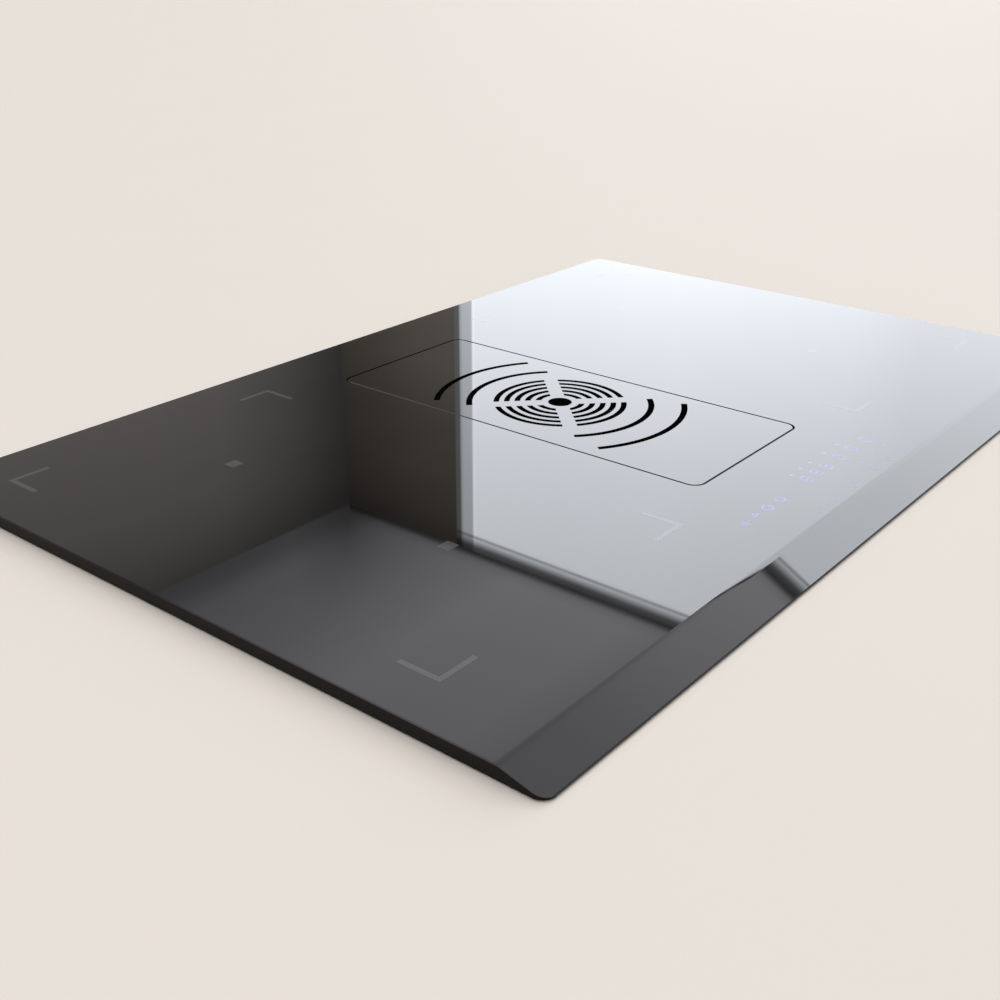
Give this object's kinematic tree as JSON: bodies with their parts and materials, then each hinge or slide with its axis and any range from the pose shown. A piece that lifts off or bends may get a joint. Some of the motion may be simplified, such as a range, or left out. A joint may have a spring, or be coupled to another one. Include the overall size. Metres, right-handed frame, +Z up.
{
  "type": "downdraft induction cooktop",
  "caption": "Built-in black glass induction hob with a slotted lift-out vent panel in its middle and a blower with a flat rear duct below.",
  "frame": {"origin": "middle of the plate in plan, on the worktop's surface, where the glass's seal lies", "axes": "+X to the user's right along the plate, +Y to the rear, +Z up out of the worktop"},
  "size_m": [0.78, 0.52, 0.2123],
  "materials": {
    "glass_black": "glossy black ceramic glass",
    "seal_rubber": "black silicone and foam rubber",
    "black_plastic": "black glass-filled moulding",
    "grey_plastic": "light grey moulding",
    "galvanised": "zinc-coated pressed steel, satin",
    "stainless": "brushed stainless steel",
    "aluminium": "plain aluminium, satin",
    "steel": "bright zinc-plated steel",
    "lamination": "stacked dark electrical steel",
    "ferrite": "dark grey sintered ferrite",
    "copper_litz": "lacquered copper strands",
    "mica": "pale mica sheet",
    "circuit_board": "green circuit board",
    "component": "moulded electronic parts",
    "transistor": "black moulded transistors",
    "light_guide": "translucent light guide"
  },
  "bodies": {
    "root": {"glass_top": "glass_black", "glass_seal": "seal_rubber", "panel_frame": "black_plastic", "panel_pads": "seal_rubber", "suction_shaft": "black_plastic", "shaft_seal": "seal_rubber", "casing_tray": "galvanised", "casing_floor": "galvanised", "housing_screws": "steel", "air_box": "black_plastic", "drip_skirt": "black_plastic", "scroll_housing": "black_plastic", "inlet_ring": "black_plastic", "motor_bearings": "steel", "motor_mount": "aluminium", "motor_bushes": "seal_rubber", "motor_stator": "lamination", "outlet_spigot": "black_plastic", "flap_pins": "steel", "clamp_screws": "steel", "carrier_posts": "grey_plastic", "insulating_sheets": "mica", "coil_sensors": "grey_plastic", "coil_formers": "black_plastic", "ferrite_bars": "ferrite", "board_standoffs": "grey_plastic", "power_transistors": "transistor", "capacitors": "component", "filter_chokes": "copper_litz", "fan_housings": "black_plastic", "control_carrier": "black_plastic", "control_board": "circuit_board", "display_blocks": "light_guide", "terminal_block": "grey_plastic", "terminal_cover": "black_plastic", "cable_gland": "grey_plastic", "coil_windings_left": "copper_litz", "coil_windings_right": "copper_litz", "coil_carriers": "aluminium", "power_boards": "circuit_board", "heatsinks": "aluminium"},
    "filter": {"filter_basin": "stainless", "filter_mesh": "aluminium"},
    "handle": {"filter_handle": "stainless"},
    "panel": {"vent_panel": "glass_black"},
    "container": {"drip_container": "grey_plastic", "drip_seal": "seal_rubber"},
    "blower_wheel": {"impeller": "galvanised", "impeller_blades": "galvanised", "impeller_ring": "galvanised", "motor_rotor": "steel", "rotor_shaft": "steel"},
    "fan_left": {"fan_rotor_left": "black_plastic"},
    "fan_right": {"fan_rotor_right": "black_plastic"},
    "flap_left": {"flap_left": "grey_plastic"},
    "flap_right": {"flap_right": "grey_plastic"},
    "clamp_left_front": {"clamp_left_front": "steel"},
    "clamp_left_rear": {"clamp_left_rear": "steel"},
    "clamp_right_front": {"clamp_right_front": "steel"},
    "clamp_right_rear": {"clamp_right_rear": "steel"}
  },
  "joints": [
    {"name": "filter_lift", "type": "slide", "parent": "root", "child": "filter", "axis": [0, 0, 1], "range_m": [0, 0.1]},
    {"name": "panel_lift", "type": "slide", "parent": "filter", "child": "panel", "axis": [0, 0, 1], "range_m": [0, 0.1]},
    {"name": "handle_fold", "type": "hinge", "parent": "filter", "child": "handle", "pos_m": [0, 0.02223, -0.031], "axis": [-1, 0, 0], "range_deg": [0, 90]},
    {"name": "container_drop", "type": "slide", "parent": "root", "child": "container", "axis": [0, 0, -1], "range_m": [0, 0.1]},
    {"name": "impeller_spin", "type": "hinge", "parent": "root", "child": "blower_wheel", "pos_m": [0.04, 0.07805, -0.16], "axis": [0, 0, -1], "continuous": true},
    {"name": "flap_left_swing", "type": "hinge", "parent": "root", "child": "flap_left", "pos_m": [-0.042, 0.19185, -0.165], "axis": [0, 0, -1], "range_deg": [0, 80], "stiffness_Nm_per_rad": 0.002},
    {"name": "flap_right_swing", "type": "hinge", "parent": "root", "child": "flap_right", "pos_m": [-0.034, 0.19185, -0.165], "axis": [0, 0, 1], "range_deg": [0, 80], "stiffness_Nm_per_rad": 0.002},
    {"name": "fan_left_spin", "type": "hinge", "parent": "root", "child": "fan_left", "pos_m": [-0.22198, -0.172, -0.045], "axis": [0, 0, -1], "continuous": true},
    {"name": "clamp_left_front_swing", "type": "hinge", "parent": "root", "child": "clamp_left_front", "pos_m": [-0.366, -0.15, -0.032], "axis": [0, 0, 1], "range_deg": [0, 90]},
    {"name": "clamp_left_rear_swing", "type": "hinge", "parent": "root", "child": "clamp_left_rear", "pos_m": [-0.366, 0.15, -0.032], "axis": [0, 0, 1], "range_deg": [0, 90]},
    {"name": "fan_right_spin", "type": "hinge", "parent": "root", "child": "fan_right", "pos_m": [0.22198, -0.172, -0.045], "axis": [0, 0, -1], "continuous": true},
    {"name": "clamp_right_front_swing", "type": "hinge", "parent": "root", "child": "clamp_right_front", "pos_m": [0.366, -0.15, -0.032], "axis": [0, 0, 1], "range_deg": [0, 90]},
    {"name": "clamp_right_rear_swing", "type": "hinge", "parent": "root", "child": "clamp_right_rear", "pos_m": [0.366, 0.15, -0.032], "axis": [0, 0, 1], "range_deg": [0, 90]}
  ]
}
